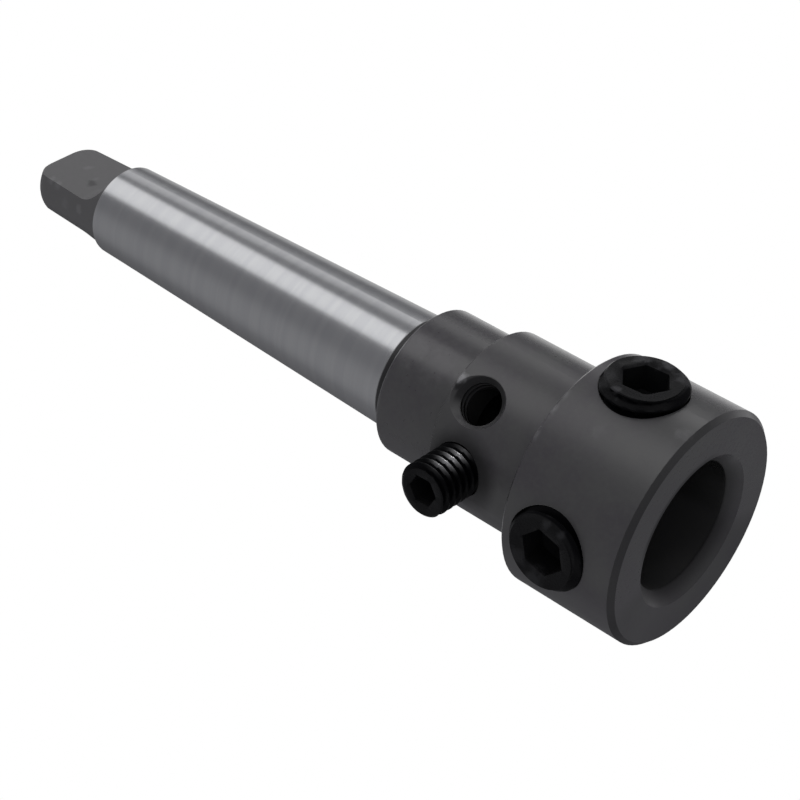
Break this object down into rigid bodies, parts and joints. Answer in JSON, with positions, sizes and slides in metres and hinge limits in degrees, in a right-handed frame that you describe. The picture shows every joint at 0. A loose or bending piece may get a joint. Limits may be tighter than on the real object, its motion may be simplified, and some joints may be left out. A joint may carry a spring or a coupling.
{
  "type": "annular cutter holder",
  "caption": "Taper shank holder with a tang and a bored head that clamps an annular cutter with socket set screws.",
  "frame": {"origin": "centre of the bore's mouth, in the plane of the head's front face, which the part stands on", "axes": "+Z along the axis from the head to the tang, +X out through clamp screw 1, -Y out through clamp screw 2 and the neck screw"},
  "size_m": [0.0359, 0.0371, 0.1261],
  "materials": {
    "holder_steel": "head, neck, collar and tang blackened, taper shank ground bright",
    "screw_steel": "black oxide"
  },
  "bodies": {
    "holder": {"holder_body": "holder_steel"},
    "clamp_screw_1": {"clamp_screw_1": "screw_steel"},
    "clamp_screw_2": {"clamp_screw_2": "screw_steel"},
    "neck_screw": {"neck_screw": "screw_steel"}
  },
  "joints": [
    {"name": "clamp_screw_1_travel", "type": "slide", "parent": "holder", "child": "clamp_screw_1", "axis": [-1, 0, 0], "range_m": [-0.005, 0.003]},
    {"name": "clamp_screw_2_travel", "type": "slide", "parent": "holder", "child": "clamp_screw_2", "axis": [0, 1, 0], "range_m": [-0.005, 0.003]},
    {"name": "neck_screw_travel", "type": "slide", "parent": "holder", "child": "neck_screw", "axis": [0, 1, 0], "range_m": [-0.001, 0.0045]}
  ]
}
